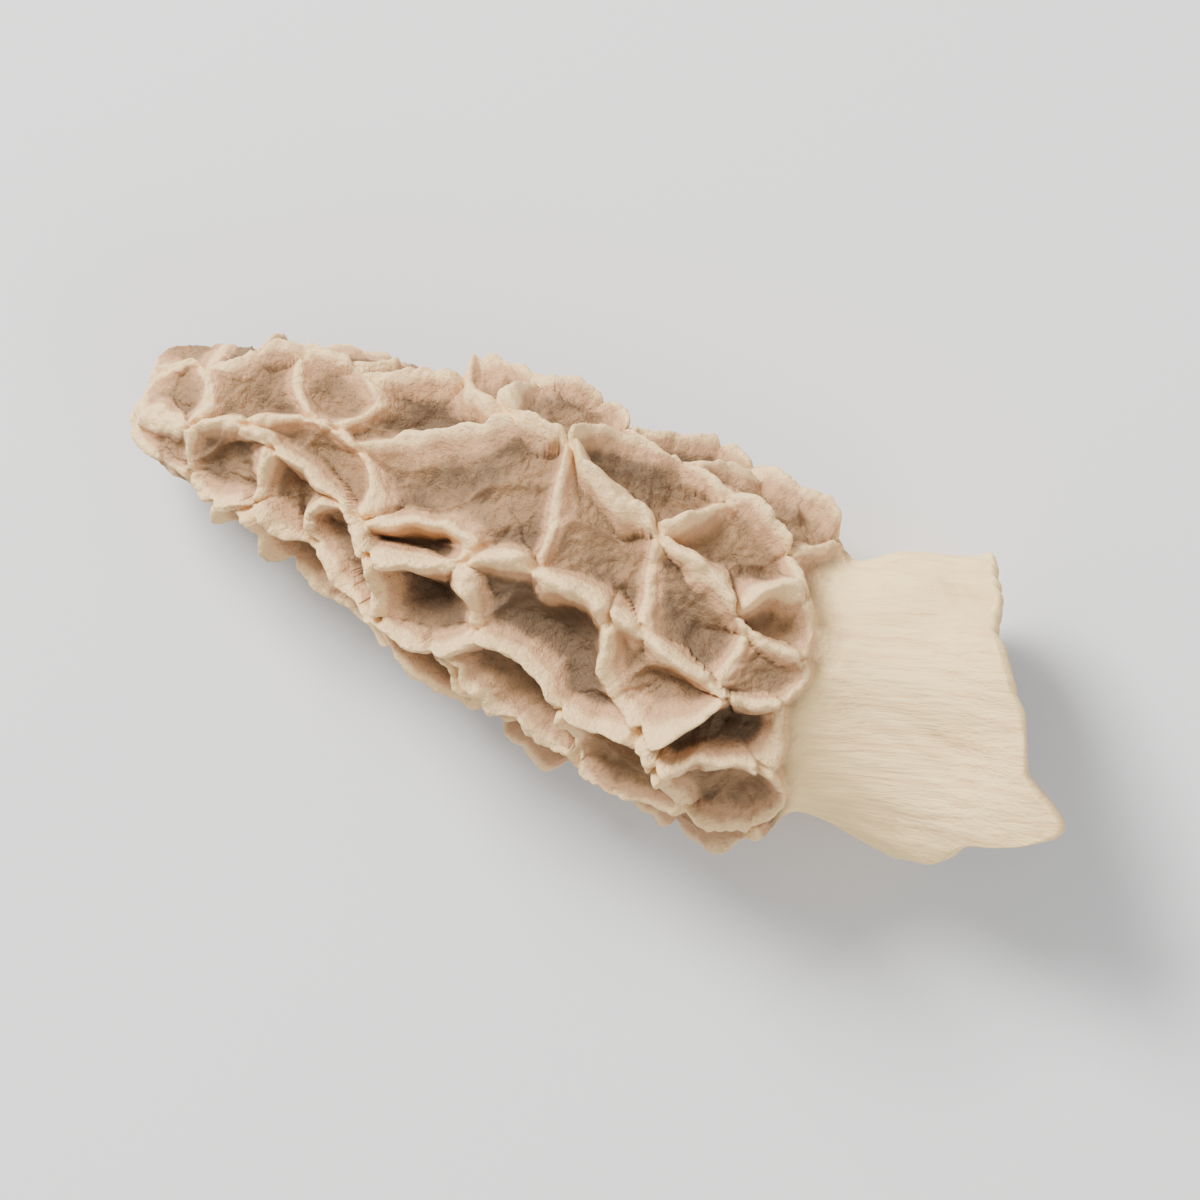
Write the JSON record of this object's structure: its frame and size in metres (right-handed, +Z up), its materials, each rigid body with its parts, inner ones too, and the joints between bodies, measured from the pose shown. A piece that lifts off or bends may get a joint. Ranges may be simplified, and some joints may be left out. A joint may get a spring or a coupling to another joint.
{
  "type": "dried morel mushroom",
  "caption": "Dried morel mushroom lying on its side: a ridged and pitted cap on a short pale stem, hollow from its cut end.",
  "frame": {"origin": "on the resting surface, below the middle of the bounding box", "axes": "+X from the cap's tip towards the stem's cut end, +Z up from the surface that it lies on"},
  "size_m": [0.0502, 0.0203, 0.0153],
  "materials": {
    "dried_tissue": "matt dried mushroom tissue, pale cream on the ridges and the stem, brown to olive in the pits"
  },
  "bodies": {
    "root": {"morel": "dried_tissue"}
  },
  "joints": []
}
